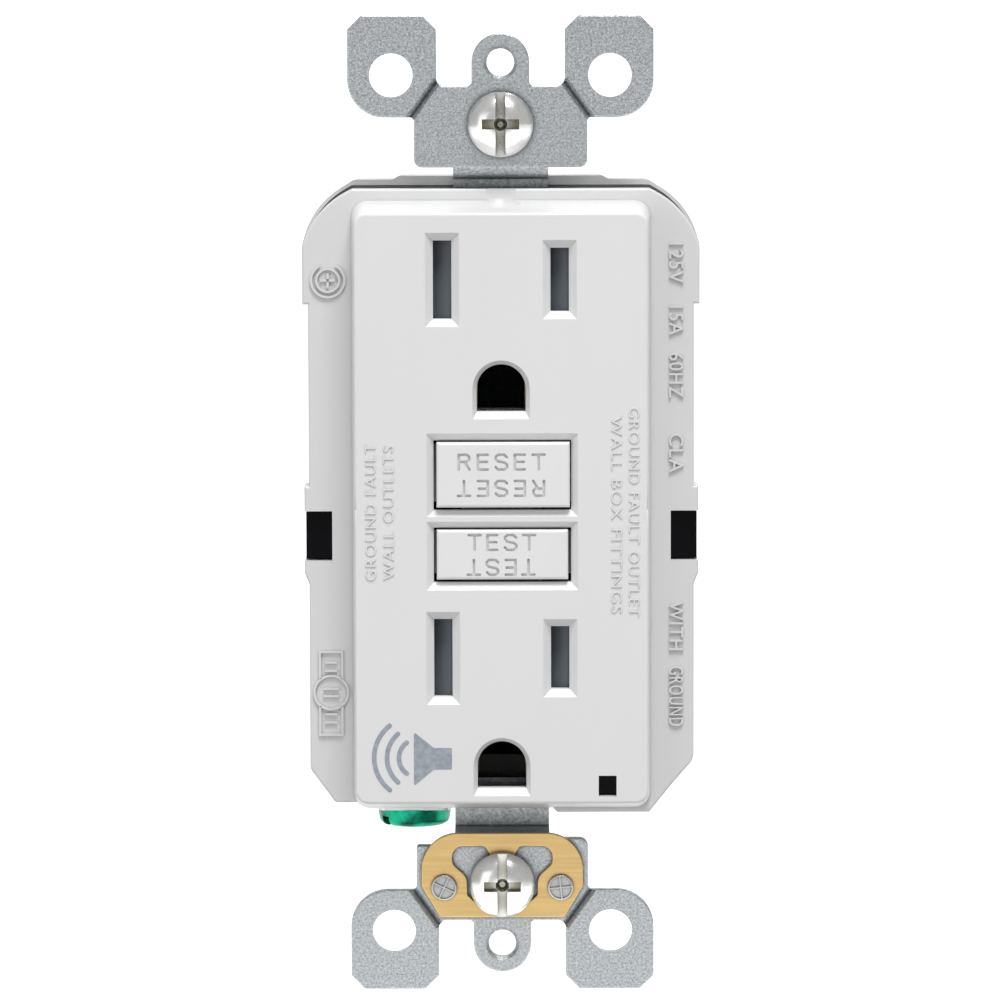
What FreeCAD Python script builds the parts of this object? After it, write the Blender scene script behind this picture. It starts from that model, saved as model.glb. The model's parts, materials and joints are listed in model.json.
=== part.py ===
"""A ground-fault wall outlet: two receptacles with test and reset buttons, on a steel mounting strap.

Millimetres. X runs to the right and Z runs up on the wall, and Y runs into the wall box. The origin is on the
back of the strap's ears, midway between the two box screws, so the wall surface is the plane Y = 0.
"""
import FreeCAD, Part
import math
import os

V = FreeCAD.Vector

# Standard spacings
BOX_SCREW_SPACING = 83.34
FACEPLATE_SCREW_SPACING = 96.84
RECEPTACLE_PITCH = 41.05
BLADE_SPACING = 12.70
BLADE_TO_GROUND = 11.80

# Levels along Y, from the front to the back
FACE_Y = -7.4
FACE_WALL = 2.0
SHOULDER_Y = -1.0
COVER_BACK_Y = 4.3
BODY_FRONT_Y = 4.4
BODY_BACK_Y = 26.0
SHUTTER_Y = FACE_Y + FACE_WALL + 0.2
SHUTTER_THICK = 1.3
TRAY_Y = SHUTTER_Y + SHUTTER_THICK + 0.2
TRAY_THICK = 1.2
STRAP_THICK = 1.2
BAND_Y = 3.0
BUS_Y = 5.0
BUS_THICK = 0.8
MIDDLE_Y = 6.0
MIDDLE_THICK = 1.6
ARM_Y = 7.0
LIFTER_Y = 7.9
LATCH_Y = 15.6
BOARD_Y = 21.2
BOARD_THICK = 1.6
CLIP_THICK = 0.5

# Receptacles
UPPER_SLOT_Z = 24.97
GROUND_Z = UPPER_SLOT_Z - BLADE_TO_GROUND
SLOT_HALF = 1.0
LONG_SLOT = 8.46
SHORT_SLOT = 6.84
SLOT_BEVEL = 0.85
GROUND_R = 2.65
GROUND_DROP = 2.45
SHUTTER_TRAVEL = 2.6

# Buttons
RESET_X = (-7.02, 7.40)
RESET_Z = (0.36, 7.43)
TEST_X = (-7.02, 7.22)
TEST_Z = (-7.50, -2.08)
WELL_X = (-7.35, 7.55)
RESET_WELL_Z = (0.02, 7.60)
TEST_WELL_Z = (-7.82, -1.90)
LETTER_HEIGHT = 1.6
LETTER_DEPTH = 0.24
POST_Z = 3.85
TEST_LEG_Z = -4.8

# Strap
EAR_X = 11.93
EAR_Z = 47.02
EAR_HOLE_R = 2.38
EAR_EDGE_X = 16.67
STRAP_END_Z = 53.48
NECK_HALF = 5.2
BAND_HALF = 4.4
BEND_Z = 35.9
RIVET_X = 6.42
RIVET_Z = -42.05
SHANK_RELIEF = 0.25
SHANK_END_Y = 4.4

# Terminals
TERMINAL_Z = 18.0
TERMINAL_Y = 13.0
TERMINAL_X = 16.2
CLAMP_GAP = 0.6
CLAMP_THICK = 1.2
TERMINAL_THREAD_R = 2.05
THREAD_PITCH = 0.794
GROUND_SCREW_X = -9.8
GROUND_SCREW_Y = 8.5
GROUND_SCREW_ROLL = 54
GROUND_TAB_Z = -31.4

BOSSES = ((-17.6, 28.4), (17.6, 28.4), (-17.2, -27.6), (17.2, -27.6))


# ---------------------------------------------------------------- shape helpers

def box(x, y, z):
    """A box from three (low, high) pairs."""
    return Part.makeBox(x[1] - x[0], y[1] - y[0], z[1] - z[0], V(x[0], y[0], z[0]))


def rod_y(x, z, radius, y):
    return Part.makeCylinder(radius, y[1] - y[0], V(x, y[0], z), V(0, 1, 0))


def rod_x(y, z, radius, x):
    return Part.makeCylinder(radius, x[1] - x[0], V(x[0], y, z), V(1, 0, 0))


def rod_z(x, y, radius, z):
    return Part.makeCylinder(radius, z[1] - z[0], V(x, y, z[0]), V(0, 0, 1))


def rounded_wire(corners):
    """A closed wire through corners given as (point, radius)."""
    edges = []
    ends = []
    count = len(corners)
    for i, (point, radius) in enumerate(corners):
        before = (corners[i - 1][0] - point).normalize()
        after = (corners[(i + 1) % count][0] - point).normalize()
        if radius <= 0:
            ends.append((point, point))
            continue
        half = before.getAngle(after) / 2
        reach = radius / math.tan(half)
        start = point + before * reach
        stop = point + after * reach
        middle = point + (before + after).normalize() * (radius / math.sin(half) - radius)
        edges.append(Part.Arc(start, middle, stop).toShape())
        ends.append((start, stop))
    for i in range(count):
        start = ends[i - 1][1]
        stop = ends[i][0]
        if start.distanceToPoint(stop) > 1e-6:
            edges.append(Part.LineSegment(start, stop).toShape())
    return Part.Wire(Part.__sortEdges__(edges))


def corners_at(points, y):
    return [(V(p[0], y, p[1]), p[2] if len(p) > 2 else 0) for p in points]


def plate(points, y):
    """An outline of (x, z, corner radius) points, made solid between two values of Y."""
    return Part.Face(rounded_wire(corners_at(points, y[0]))).extrude(V(0, y[1] - y[0], 0))


def side_profile(points, x):
    """An outline of (y, z, corner radius) points, made solid between two values of X."""
    corners = [(V(x[0], p[0], p[1]), p[2] if len(p) > 2 else 0) for p in points]
    return Part.Face(rounded_wire(corners)).extrude(V(x[1] - x[0], 0, 0))


def rectangle(x, z, radius=0):
    return [(x[0], z[0], radius), (x[1], z[0], radius), (x[1], z[1], radius), (x[0], z[1], radius)]


def mirrored(points):
    """The right half of an outline, from bottom to top, closed by its mirror image."""
    return list(points) + [(-p[0],) + tuple(p[1:]) for p in reversed(points)]


def tapered(front, y_front, back, y_back):
    """A solid between two outlines of the same kind at two values of Y."""
    wires = [rounded_wire(corners_at(front, y_front)), rounded_wire(corners_at(back, y_back))]
    return Part.makeLoft(wires, True, True)


def fused(shapes):
    first = shapes[0]
    return first.multiFuse(shapes[1:]).removeSplitter() if len(shapes) > 1 else first


def cut(shape, tools):
    return shape.cut(tools)


def flipped_z(shape):
    return shape.mirror(V(0, 0, 0), V(0, 0, 1))


def moved(shape, x=0, y=0, z=0):
    copy = shape.copy()
    copy.translate(V(x, y, z))
    return copy


def aimed(shape, origin, direction, roll=0):
    """A shape built along +Z at the origin, rolled about Z and stood along another direction at a point."""
    copy = shape.copy()
    turn = FreeCAD.Rotation(V(0, 0, 1), direction).multiply(FreeCAD.Rotation(V(0, 0, 1), roll))
    copy.Placement = FreeCAD.Placement(origin, turn)
    return copy


def chosen_edges(shape, test):
    return [edge for edge in shape.Edges if test(edge.CenterOfMass)]


# ---------------------------------------------------------------- screws and springs

def threaded_shaft(radius, length, pitch, shank):
    """A shaft along -Z from the origin: a relieved shank, a ring for each thread and a blunt point."""
    depth = 0.3 * pitch
    turns = int((length - shank - radius * 0.5) / pitch)
    shank_r = radius - SHANK_RELIEF
    points = [V(0, 0, 0), V(shank_r, 0, 0), V(shank_r, 0, -shank), V(radius, 0, -shank)]
    for i in range(turns):
        top = -shank - i * pitch
        points.append(V(radius, 0, top - 0.15 * pitch))
        points.append(V(radius - depth, 0, top - 0.5 * pitch))
        points.append(V(radius, 0, top - 0.85 * pitch))
    points.append(V(radius * 0.6, 0, -length))
    points.append(V(0, 0, -length))
    points.append(points[0])
    return Part.Face(Part.makePolygon(points)).revolve(V(0, 0, 0), V(0, 0, 1), 360)


def drive_recess(head_r, head_h, slot_width, depth):
    """The combination drive: a slot right across the head and a shorter cross arm."""
    bottom = head_h - depth
    half = slot_width / 2
    slot = box((-half, half), (-head_r - 1, head_r + 1), (bottom, head_h + 1))
    arm = box((-0.57 * head_r, 0.57 * head_r), (-half, half), (bottom, head_h + 1))
    well = Part.makeCone(0.6 * half, 2.6 * half, 1.6 * depth, V(0, 0, head_h - 1.6 * depth))
    return [slot, arm, well]


def pan_screw(head_r, head_h, shaft_r, length, slot_width, pitch=THREAD_PITCH, shank=0.4):
    """A pan-head screw along +Z with the seat of its head at Z = 0."""
    edge_h = 0.45 * head_h
    profile = [
        Part.LineSegment(V(0, 0, 0), V(head_r, 0, 0)).toShape(),
        Part.LineSegment(V(head_r, 0, 0), V(head_r, 0, edge_h)).toShape(),
        Part.Arc(V(head_r, 0, edge_h), V(0.72 * head_r, 0, 0.86 * head_h), V(0, 0, head_h)).toShape(),
        Part.LineSegment(V(0, 0, head_h), V(0, 0, 0)).toShape(),
    ]
    head = Part.Face(Part.Wire(profile)).revolve(V(0, 0, 0), V(0, 0, 1), 360)
    head = cut(head, drive_recess(head_r, head_h, slot_width, 0.5 * head_h))
    return head.fuse(threaded_shaft(shaft_r, length, pitch, shank))


def coil_spring(radius, wire_r, length, turns):
    """A compression spring along +Z from the origin, made of half turns that lean to and fro."""
    rise = (length - 2 * wire_r) / (2 * turns)
    halves = []
    for i in range(2 * turns):
        side = 1 if i % 2 == 0 else -1
        low = wire_r + i * rise
        ring = Part.makeCircle(wire_r, V(side * radius, 0, low), V(0, 1, 0))
        axis = V(side * rise, 0, 2 * radius)
        centre = V(0, 0, low + rise / 2)
        halves.append(Part.Face(Part.Wire(ring)).revolve(centre, axis, 180))
    return fused(halves)


# ---------------------------------------------------------------- front cover

def cover_outline():
    """The shoulder's outline, with the side bosses and the two different lower corners."""
    side = 21.1
    boss = 21.6
    head = 21.72
    upper = [(head, 22.1), (head, 28.5, 0.3), (20.17, 32.65, 9.5), (16.3, 34.7, 0.3)]
    bosses = [(side, -8.6), (boss, -7.4), (boss, 2.2), (side, 2.2), (side, 22.1)]
    lower_right = [(5.5, -32.75), (5.5, -33.3), (6.1, -33.87), (16.2, -33.87), (18.75, -30.7, 1.0),
                   (side, -28.0, 2.0)]
    lower_left = [(-side, -29.0, 0.6), (-18.35, -32.75, 0.6)]
    right = lower_right + bosses + upper
    left = [(-p[0],) + tuple(p[1:]) for p in reversed(bosses + upper)]
    return right + left + lower_left


def cover_hollow():
    """The space inside the shoulder, a wall's thickness in from its outline."""
    right = [(15.2, -31.1), (17.0, -29.8), (19.4, -27.4), (19.4, 21.4), (19.9, 22.6), (19.9, 27.7),
             (18.5, 30.8), (15.7, 33.1)]
    left = [(-15.7, 33.1), (-18.5, 30.8), (-19.9, 27.7), (-19.9, 22.6), (-19.4, 21.4), (-19.4, -28.2),
            (-17.6, -31.1)]
    return plate(right + left, (0.6, COVER_BACK_Y + 1))


def face_block():
    """The raised face, with its sloping ends and softened front edges."""
    front = rectangle((-15.9, 15.9), (-31.95, 32.15), 1.3)
    back = rectangle((-16.35, 16.35), (-33.4, 33.5), 1.8)
    block = tapered(front, FACE_Y, back, SHOULDER_Y + 0.4)
    rim = chosen_edges(block, lambda c: abs(c.y - FACE_Y) < 1e-3)
    return block.makeFillet(0.35, rim)


def bevelled_slot(x, z, bevel):
    """A straight slot through the face, with a bevelled mouth."""
    hole = box(x, (FACE_Y - 1, FACE_Y + FACE_WALL + 1), z)
    wide = 2 * bevel
    outer = rectangle((x[0] - wide, x[1] + wide), (z[0] - wide, z[1] + wide))
    inner = rectangle(x, z)
    mouth = tapered(outer, FACE_Y - bevel, inner, FACE_Y + bevel)
    return hole.fuse(mouth)


def ground_outline(radius, drop):
    """A ground pin's hole: an arch over a flat bottom."""
    arch = Part.Arc(V(radius, 0, 0), V(0, 0, radius), V(-radius, 0, 0)).toShape()
    points = [V(-radius, 0, 0), V(-radius, 0, -drop), V(radius, 0, -drop), V(radius, 0, 0)]
    sides = [Part.LineSegment(a, b).toShape() for a, b in zip(points, points[1:])]
    return Part.Wire([arch] + sides)


def ground_hole():
    hole = Part.Face(ground_outline(GROUND_R, GROUND_DROP)).extrude(V(0, FACE_WALL + 2, 0))
    outer = ground_outline(GROUND_R + 0.9, GROUND_DROP + 1.65)
    outer.translate(V(0, -0.8, 0))
    inner = ground_outline(GROUND_R, GROUND_DROP)
    inner.translate(V(0, 0.8, 0))
    mouth = Part.makeLoft([outer, inner], True, True)
    return moved(fused([moved(hole, y=-1), mouth]), y=FACE_Y)


def receptacle_holes(centre_z, ground_z):
    """The long neutral slot, the short hot slot and the ground hole of one receptacle."""
    left = -BLADE_SPACING / 2
    right = BLADE_SPACING / 2
    long_half = LONG_SLOT / 2
    short_half = SHORT_SLOT / 2
    return [
        bevelled_slot((left - SLOT_HALF, left + SLOT_HALF), (centre_z - long_half, centre_z + long_half),
                      SLOT_BEVEL),
        bevelled_slot((right - SLOT_HALF, right + SLOT_HALF),
                      (centre_z - short_half, centre_z + short_half), SLOT_BEVEL),
        moved(ground_hole(), z=ground_z),
    ]


def button_well(z, low_bevel, high_bevel):
    """A button's opening, bevelled widely at its outer sides and finely along the rail."""
    through = box(WELL_X, (FACE_Y - 1, FACE_Y + FACE_WALL + 1), z)
    side = 2 * 0.75
    outer = rectangle((WELL_X[0] - side, WELL_X[1] + side), (z[0] - 2 * low_bevel, z[1] + 2 * high_bevel))
    mouth = tapered(outer, FACE_Y - 0.7, rectangle(WELL_X, z), FACE_Y + 0.7)
    return through.fuse(mouth)


def latch_notch(side):
    x = (18.55, 22.5) if side > 0 else (-22.5, -18.55)
    return box(x, (SHOULDER_Y - 1, COVER_BACK_Y + 1), (-6.0, -0.55))


def front_cover():
    shoulder = plate(cover_outline(), (SHOULDER_Y, COVER_BACK_Y))
    rim = chosen_edges(shoulder, lambda c: abs(c.y - SHOULDER_Y) < 1e-3)
    shoulder = shoulder.makeFillet(0.3, rim)
    shell = shoulder.fuse(face_block())
    hollows = [cover_hollow(), box((-14.3, 14.3), (FACE_Y + FACE_WALL, COVER_BACK_Y + 1), (-31.25, 31.0))]
    shell = cut(shell, hollows)
    bosses = [rod_y(x, z, 2.4, (-0.4, COVER_BACK_Y)) for x, z in BOSSES]
    shell = shell.multiFuse(bosses)
    openings = receptacle_holes(UPPER_SLOT_Z, GROUND_Z)
    openings += receptacle_holes(UPPER_SLOT_Z - RECEPTACLE_PITCH, GROUND_Z - RECEPTACLE_PITCH)
    openings += [button_well(RESET_WELL_Z, 0.7, 0.78), button_well(TEST_WELL_Z, 0.85, 0.7)]
    openings += [box((10.5, 12.45), (FACE_Y - 1, 0), (-31.24, -28.94))]
    openings += [latch_notch(1), latch_notch(-1)]
    openings += [rod_y(x, z, 1.3, (0.8, COVER_BACK_Y + 1)) for x, z in BOSSES]
    openings += [box((-5.5, 5.5), (BAND_Y - 0.1, COVER_BACK_Y + 1), (30, 36))]
    openings += [box((-14.3, 5.5), (BAND_Y - 0.1, COVER_BACK_Y + 1), (-36, -30))]
    openings += [Part.makeSphere(2.6, V(0, SHOULDER_Y - 2.0, 34.6))]
    return cut(shell, openings)


# ---------------------------------------------------------------- buttons and their springs

def letter_strokes():
    """The strokes of the four capitals used, each line in units of the capital's height."""
    return {
        "R": [[(0, 0), (0, 1)], [(0, 1), (0.55, 1)], [(0.55, 1), (0.7, 0.88)], [(0.7, 0.88), (0.7, 0.66)],
              [(0.7, 0.66), (0.55, 0.52)], [(0, 0.52), (0.55, 0.52)], [(0.4, 0.52), (0.72, 0)]],
        "E": [[(0.04, 0), (0.04, 1)], [(0.04, 1), (0.7, 1)], [(0.04, 0.52), (0.64, 0.52)], [(0.04, 0), (0.7, 0)]],
        "S": [[(0.74, 0.84), (0.58, 1)], [(0.58, 1), (0.16, 1)], [(0.16, 1), (0, 0.86)],
              [(0, 0.86), (0, 0.68)], [(0, 0.68), (0.14, 0.56)], [(0.14, 0.56), (0.62, 0.46)],
              [(0.62, 0.46), (0.76, 0.33)], [(0.76, 0.33), (0.76, 0.14)], [(0.76, 0.14), (0.6, 0)],
              [(0.6, 0), (0.16, 0)], [(0.16, 0), (0, 0.16)]],
        "T": [[(0, 1), (0.8, 1)], [(0.4, 0), (0.4, 1)]],
    }


def stroke(start, stop, width, depth):
    """A round-ended groove cutter standing on the X-Z plane and reaching along +Y."""
    along = (stop - start).normalize()
    across = V(along.z, 0, -along.x) * (width / 2)
    tip = along * (width / 2)
    edges = [
        Part.LineSegment(start + across, stop + across).toShape(),
        Part.Arc(stop + across, stop + tip, stop - across).toShape(),
        Part.LineSegment(stop - across, start - across).toShape(),
        Part.Arc(start - across, start - tip, start + across).toShape(),
    ]
    return Part.Face(Part.Wire(edges)).extrude(V(0, depth, 0))


def word_cutters(word, height, advance, width, depth):
    """One word's strokes, centred on the origin."""
    strokes = letter_strokes()
    shift = -(advance * (len(word) - 1) + 0.75 * height) / 2
    cutters = []
    for i, letter in enumerate(word):
        left = shift + i * advance
        for (x0, z0), (x1, z1) in strokes[letter]:
            start = V(left + x0 * height, 0, (z0 - 0.5) * height)
            stop = V(left + x1 * height, 0, (z1 - 0.5) * height)
            cutters.append(stroke(start, stop, width, depth))
    return fused(cutters)


def engraved(button, word, front_y, upright_z, upside_down_z, advance):
    """Engraves a word twice, so that it reads from either end of the outlet."""
    letters = moved(word_cutters(word, LETTER_HEIGHT, advance, 0.28, 1.0), y=front_y + LETTER_DEPTH - 1.0)
    turned = letters.copy()
    turned.rotate(V(0, 0, 0), V(0, 1, 0), 180)
    return button.cut(moved(letters, z=upright_z)).cut(moved(turned, z=upside_down_z))


def button_cap(front_y, x, z):
    """A rounded cap with a retaining flange at each side, behind the face."""
    cap = box(x, (front_y, -3.0), z)
    rim = chosen_edges(cap, lambda c: abs(c.y - front_y) < 1e-3)
    cap = cap.makeFillet(0.35, rim)
    flange = box((-8.6, 8.6), (-4.2, -3.0), (z[0] + 0.4, z[1] - 0.4))
    return cap.fuse(flange)


def reset_button():
    """The reset button and its latching post, with the groove that the latch plate catches."""
    front_y = FACE_Y - 0.45
    cap = engraved(button_cap(front_y, RESET_X, RESET_Z), "RESET", front_y, 5.3, 2.45, 2.0)
    post = rod_y(0, POST_Z, 1.2, (-3.1, 18.0))
    groove = rod_y(0, POST_Z, 1.6, (LATCH_Y - 0.2, LATCH_Y + 1.0)).cut(
        rod_y(0, POST_Z, 0.9, (LATCH_Y - 0.2, LATCH_Y + 1.0)))
    return cap.fuse(post).cut(groove)


def test_button():
    """The test button, with the leg that closes the test contact."""
    front_y = FACE_Y - 0.05
    cap = engraved(button_cap(front_y, TEST_X, TEST_Z), "TEST", front_y, -3.45, -6.15, 1.97)
    leg = rod_y(0, TEST_LEG_Z, 1.0, (-3.1, 11.6))
    return cap.fuse(leg)


def button_spring(z, radius):
    """A spring between a button's back and the strap's inner band."""
    return aimed(coil_spring(radius, 0.2, BAND_Y + 3.0, 6), V(0, -3.0, z), V(0, 1, 0))


# ---------------------------------------------------------------- shutters

def shutter(centre_z):
    """A sliding plate that closes both blade slots, with a ramp in front of each."""
    body = box((-11.6, 9.4), (SHUTTER_Y, SHUTTER_Y + SHUTTER_THICK), (centre_z - 5.0, centre_z + 5.0))
    cuts = []
    for side in (-1, 1):
        slot = side * BLADE_SPACING / 2
        window = (slot - 1.25 - SHUTTER_TRAVEL, slot - 1.25)
        cuts.append(box(window, (SHUTTER_Y - 1, SHUTTER_Y + 3), (centre_z - 4.4, centre_z + 4.4)))
        ramp = [V(window[1], SHUTTER_Y - 0.1, 0), V(window[1] + 2.2, SHUTTER_Y - 0.1, 0),
                V(window[1], SHUTTER_Y + 0.8, 0)]
        wedge = Part.Face(Part.makePolygon(ramp + ramp[:1])).extrude(V(0, 0, 8.8))
        cuts.append(moved(wedge, z=centre_z - 4.4))
    return cut(body, cuts)


def shutter_tray(centre_z):
    """The tray that carries a shutter, on four posts from the cover."""
    low = centre_z - 5.6
    high = centre_z + 5.6
    tray = box((-14.1, 14.1), (TRAY_Y, TRAY_Y + TRAY_THICK), (low, high))
    posts = [rod_y(x, z, 0.7, (FACE_Y + FACE_WALL, TRAY_Y + 0.1)) for x in (-13.3, 13.3)
             for z in (low + 0.8, high - 0.8)]
    stop = box((13.3, 14.1), (SHUTTER_Y, TRAY_Y + 0.1), (centre_z - 1.5, centre_z + 1.5))
    slots = [box((x - 1.4, x + 1.4), (TRAY_Y - 1, TRAY_Y + 3), (centre_z - 4.6, centre_z + 4.6))
             for x in (-BLADE_SPACING / 2, BLADE_SPACING / 2)]
    return cut(tray.multiFuse(posts + [stop]), slots)


def shutter_spring(centre_z):
    """A small spring from the shutter's end to the tray's stop."""
    spring = coil_spring(0.45, 0.12, 3.7, 7)
    return aimed(spring, V(9.5, SHUTTER_Y + SHUTTER_THICK / 2, centre_z), V(1, 0, 0))


# ---------------------------------------------------------------- mounting strap

def strap_end(lower):
    """One flat end of the strap: the centre plate, the faceplate tab and two ears, for the upper end."""
    near = {True: ((37.5, 0.3), (36.7, 0.9)), False: ((37.0, 0.9), (37.0, 0.9))}[lower]
    right = [(NECK_HALF, 37.4 if lower else 37.7), (9.45, near[1][0], near[1][1]), (9.45, 42.45, 0.45),
             (EAR_EDGE_X, 42.45, 4.0), (EAR_EDGE_X, STRAP_END_Z - 1.5, 0.3),
             (EAR_EDGE_X - 1.5, STRAP_END_Z, 0.3), (8.5, STRAP_END_Z, 0.3), (7.0, STRAP_END_Z - 1.5, 0.3),
             (7.0, 45.85, 0.9), (3.15, 45.85, 0.5), (3.15, 48.42)]
    left = [(-p[0],) + tuple(p[1:]) for p in reversed(right)]
    left[-2] = (-9.45, near[0][0], near[0][1])
    right[0] = (NECK_HALF, near[1][0])
    left[-1] = (-NECK_HALF, near[0][0])
    tab = rod_y(0, 48.42, 3.15, (-STRAP_THICK, 0))
    flat = plate(right + left, (-STRAP_THICK, 0)).fuse(tab)
    front = chosen_edges(flat, lambda c: abs(c.y + STRAP_THICK) < 1e-3)
    return flat.makeFillet(0.18, front)


def strap_holes():
    """The holes of one end: ears, faceplate screw, box screw slot and the break-off grooves."""
    holes = [rod_y(x, EAR_Z, EAR_HOLE_R, (-3, 3)) for x in (-EAR_X, EAR_X)]
    holes.append(rod_y(0, FACEPLATE_SCREW_SPACING / 2, 1.5, (-3, 3)))
    holes.append(Part.makeCone(1.85, 1.45, 0.4, V(0, -STRAP_THICK, FACEPLATE_SCREW_SPACING / 2), V(0, 1, 0)))
    slot_z = BOX_SCREW_SPACING / 2
    holes.append(box((-1.4, 1.4), (-3, 3), (slot_z - 1.9, slot_z + 1.9)))
    holes += [rod_y(x, slot_z, 1.9, (-3, 3)) for x in (-1.4, 1.4)]
    for side in (-1, 1):
        start = V(side * 6.9, 0, 46.45)
        along = V(side * 9.9, 0, 42.3) - start
        groove = Part.makeBox(along.Length, 0.7, 0.7, V(0, -0.35, -0.35))
        groove.rotate(V(0, 0, 0), V(1, 0, 0), 45)
        turn = FreeCAD.Rotation(V(1, 0, 0), along)
        groove.Placement = FreeCAD.Placement(start + V(0, -STRAP_THICK, 0), turn).multiply(groove.Placement)
        holes.append(groove)
    return holes


def strap_neck():
    """The double bend from the flat end to the inner band, for the upper end."""
    points = [(-STRAP_THICK, 38.5), (-STRAP_THICK, BEND_Z, 1.5), (BAND_Y, BEND_Z, 0.3), (BAND_Y, 32.0),
              (BAND_Y + STRAP_THICK, 32.0), (BAND_Y + STRAP_THICK, BEND_Z + STRAP_THICK, 1.5),
              (0, BEND_Z + STRAP_THICK, 0.3), (0, 38.5)]
    return side_profile(points, (-NECK_HALF, NECK_HALF))


def ground_tab():
    """The strap's folded tab that takes the ground screw."""
    y = (BAND_Y, BAND_Y + STRAP_THICK)
    arm = box((-14.0, -NECK_HALF + 0.2), y, (GROUND_TAB_Z - STRAP_THICK, GROUND_TAB_Z + 1.0))
    fold = box((-14.0, -5.6), (BAND_Y, 13.0), (GROUND_TAB_Z - STRAP_THICK, GROUND_TAB_Z))
    hole = rod_z(GROUND_SCREW_X, GROUND_SCREW_Y, 2.1, (GROUND_TAB_Z - 3, GROUND_TAB_Z + 3))
    return arm.fuse(fold).cut(hole)


def mounting_strap():
    upper = strap_end(False).fuse(strap_neck())
    upper = cut(upper, strap_holes())
    lower = strap_end(True).fuse(strap_neck())
    lower = flipped_z(cut(lower, strap_holes()))
    band = box((-BAND_HALF, BAND_HALF), (BAND_Y, BAND_Y + STRAP_THICK), (-33.0, 33.0))
    windows = []
    for ground_z in (GROUND_Z, GROUND_Z - RECEPTACLE_PITCH):
        windows.append(box((-2.75, 2.75), (BAND_Y - 1, BAND_Y + 3), (ground_z - 2.65, ground_z + 2.7)))
    windows.append(rod_y(0, POST_Z, 1.7, (BAND_Y - 1, BAND_Y + 3)))
    windows.append(rod_y(0, TEST_LEG_Z, 1.4, (BAND_Y - 1, BAND_Y + 3)))
    return cut(fused([upper, lower, band, ground_tab()]), windows)


def ground_contact(ground_z):
    """A pair of leaves that grip the ground pin, on a frame behind the strap's window."""
    y = BAND_Y + STRAP_THICK
    frame = box((-4.2, 4.2), (y, y + 0.6), (ground_z - 3.5, ground_z + 4.2))
    window = box((-2.6, 2.6), (y - 1, y + 2), (ground_z - 2.65, ground_z + 2.7))
    shapes = [frame.cut(window)]
    for side in (-1, 1):
        leaf = [(y + 0.3, ground_z + 2.2), (y + 0.3, ground_z - 2.2), (y + 6.4, ground_z - 1.8, 0.5),
                (y + 6.4, ground_z + 1.8, 0.5)]
        x = (2.6, 3.1) if side > 0 else (-3.1, -2.6)
        shapes.append(side_profile(leaf, x))
    return fused(shapes)


def grounding_clip():
    """The brass clip that keeps the lower box screw in touch with the strap."""
    outer = mirrored([(6.85, -45.4, 0.3), (8.88, -42.0, 0.9), (8.88, -36.05, 4.0)])
    inner = mirrored([(3.1, -43.6, 0.3), (3.85, -42.9, 0.3), (3.85, -40.95, 1.4), (5.5, -39.45, 1.0),
                      (5.5, -37.5, 1.2), (1.9, -37.5, 0.7), (1.25, -38.6, 0.3)])
    y = (-STRAP_THICK - CLIP_THICK, -STRAP_THICK)
    body = plate(outer, y).cut(plate(inner, (y[0] - 1, y[1] + 1)))
    front = chosen_edges(body, lambda c: abs(c.y - y[0]) < 1e-3)
    body = body.makeFillet(0.12, front)
    return cut(body, [rod_y(x, RIVET_Z, 1.0, (-3, 3)) for x in (-RIVET_X, RIVET_X)])


def clip_rivets():
    """Two staked rivets, each with a raised cross left between four sunk quarters."""
    rivets = []
    front = -STRAP_THICK - CLIP_THICK - 0.45
    for x, angle in ((-RIVET_X, 25), (RIVET_X, -6)):
        head = rod_y(x, RIVET_Z, 1.42, (front, front + 0.45))
        rim = chosen_edges(head, lambda c: c.y < front + 0.05)
        head = head.makeFillet(0.15, rim)
        sunk = rod_y(x, RIVET_Z, 1.22, (front - 0.1, front + 0.24))
        bars = box((-2, 2), (-0.1, 0.5), (-0.08, 0.08)).fuse(box((-0.08, 0.08), (-0.1, 0.5), (-2, 2)))
        bars.rotate(V(0, 0, 0), V(0, 1, 0), angle)
        quarters = sunk.cut(moved(bars, x, front, RIVET_Z))
        stem = rod_y(x, RIVET_Z, 0.98, (front + 0.35, -STRAP_THICK))
        rivets.append(head.cut(quarters).fuse(stem))
    return Part.makeCompound(rivets)


# ---------------------------------------------------------------- live conductors

def blade_contact(x_sign, centre_z):
    """A double-wipe contact: two leaves joined behind the blade's tip."""
    centre = x_sign * BLADE_SPACING / 2
    half = 4.2
    shapes = []
    for side in (-1, 1):
        near = centre + side * 0.6
        x = (near, near + 0.5) if side > 0 else (near - 0.5, near)
        leaf = [(-1.8, centre_z - half + 1.0, 0.6), (12.1, centre_z - half), (12.1, centre_z + half),
                (-1.8, centre_z + half - 1.0, 0.6)]
        shapes.append(side_profile(leaf, x))
    shapes.append(box((centre - 1.1, centre + 1.1), (11.5, 12.1), (centre_z - half, centre_z + half)))
    tab = sorted((x_sign * 7.3, x_sign * 8.4))
    shapes.append(box(tab, (BUS_Y, BUS_Y + BUS_THICK), (centre_z - 2.0, centre_z + 2.0)))
    return shapes


def bus(x_sign):
    """One load bus: both contacts of one side, the switched contact point and the load terminal."""
    y = (BUS_Y, BUS_Y + BUS_THICK)
    lower_z = UPPER_SLOT_Z - RECEPTACLE_PITCH
    rail = box(sorted((x_sign * 8.2, x_sign * 9.8)), y, (lower_z - 3.0, UPPER_SLOT_Z + 3.0))
    shapes = [rail] + blade_contact(x_sign, UPPER_SLOT_Z) + blade_contact(x_sign, lower_z)
    shapes.append(rod_y(x_sign * 9.0, 4.0, 0.8, (BUS_Y + BUS_THICK - 0.1, ARM_Y - 0.75)))
    arm = box(sorted((x_sign * 9.7, x_sign * 17.4)), y, (TERMINAL_Z - 3.5, TERMINAL_Z + 3.5))
    return fused(shapes + [arm, terminal_plate(x_sign, 1, BUS_Y)])


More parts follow.
